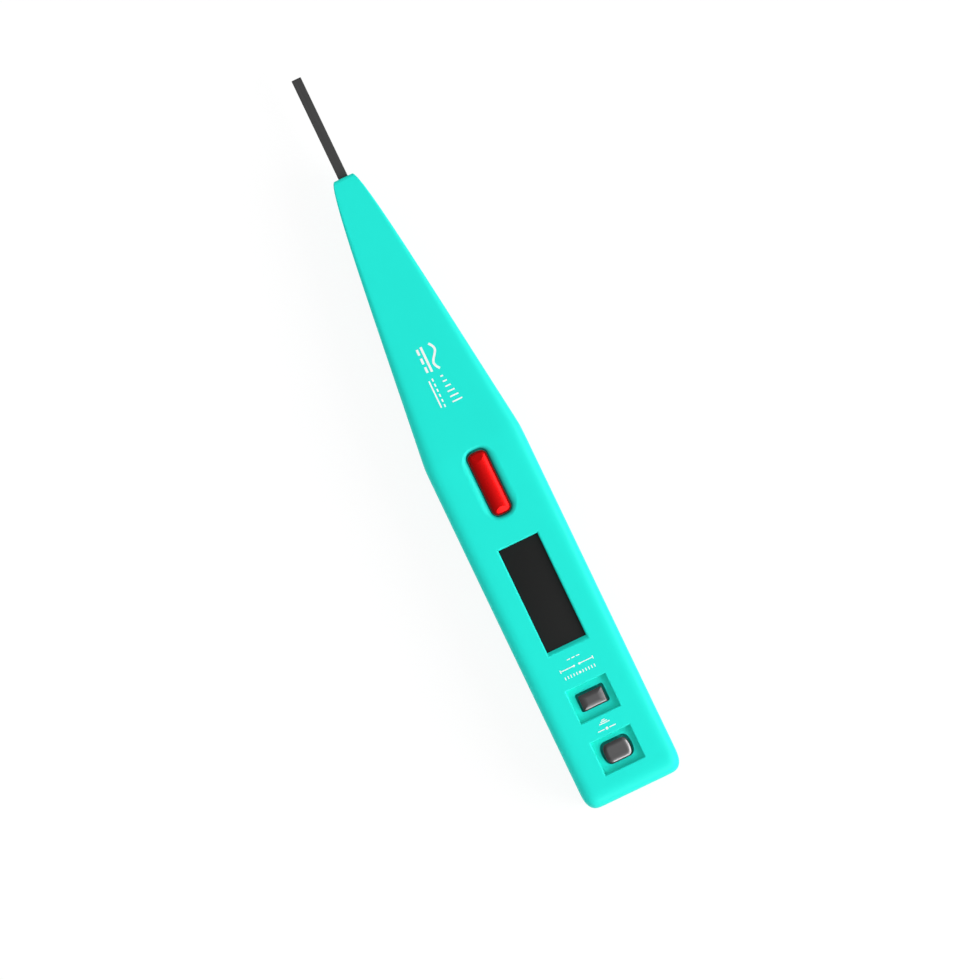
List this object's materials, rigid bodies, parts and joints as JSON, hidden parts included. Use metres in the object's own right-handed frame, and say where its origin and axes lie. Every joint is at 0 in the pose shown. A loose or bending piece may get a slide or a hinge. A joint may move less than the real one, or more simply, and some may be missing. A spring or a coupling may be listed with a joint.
{
  "type": "non contact voltage tester",
  "caption": "Flat pen-shaped voltage tester with a flat driver blade, display window, indicator lens and sprung touch buttons.",
  "frame": {"origin": "on the flat back surface that the tester rests on, under the middle of its overall length and width", "axes": "+X along the tester from its tail towards the blade tip, +Z out of the front face with the display and buttons, +Y to the left of the blade's direction"},
  "size_m": [0.14, 0.0188, 0.0129],
  "materials": {
    "casing": "satin moulded turquoise ABS",
    "window": "smoked dark window",
    "lcd": "display glass with polariser",
    "white": "natural white moulding",
    "rubber": "conductive silicone strip",
    "lens": "translucent red, polished",
    "lamp": "clear tinted resin",
    "button": "dark plated, satin",
    "spring": "bright spring wire",
    "board": "green laminate with solder mask",
    "chip": "black resin",
    "resistor": "lacquered ceramic",
    "contact": "plain strip",
    "blade": "dark oxidised steel",
    "cell": "bright nickel",
    "screw": "zinc plated"
  },
  "bodies": {
    "tester_body": {"front_casing": "casing", "rear_casing": "casing", "display_window": "window", "lcd_panel": "lcd", "lcd_holder": "white", "probe_holder": "white", "zebra_strip_left": "rubber", "zebra_strip_right": "rubber", "indicator_lens": "lens", "indicator_lamp": "lamp", "probe_spring": "spring", "circuit_board": "board", "controller_chip": "chip", "chip_resistor_1": "chip", "chip_resistor_2": "chip", "chip_resistor_3": "chip", "chip_capacitor_1": "chip", "chip_capacitor_2": "chip", "chip_diode": "chip", "safety_resistor": "resistor", "probe_contact": "contact", "probe_blade": "blade", "battery_cell_a": "cell", "battery_cell_b": "cell", "battery_leaf_negative": "contact", "battery_leaf_positive": "contact", "casing_screw_left": "screw", "casing_screw_right": "screw", "inductance_button_spring": "spring", "direct_button_spring": "spring"},
    "inductance_key": {"inductance_button": "button"},
    "direct_key": {"direct_button": "button"},
    "cover": {"battery_cover": "casing", "battery_link": "contact"}
  },
  "joints": [
    {"name": "inductance_press", "type": "slide", "parent": "tester_body", "child": "inductance_key", "axis": [0, 0, -1], "range_m": [0, 0.0006], "stiffness_N_per_m": 400, "springref_m": -0.0012, "deforming": ["inductance_button_spring"]},
    {"name": "direct_press", "type": "slide", "parent": "tester_body", "child": "direct_key", "axis": [0, 0, -1], "range_m": [0, 0.0006], "stiffness_N_per_m": 400, "springref_m": -0.0012, "deforming": ["direct_button_spring"]},
    {"name": "battery_cover_slide", "type": "slide", "parent": "tester_body", "child": "cover", "axis": [-1, 0, 0], "range_m": [0, 0.024]}
  ]
}
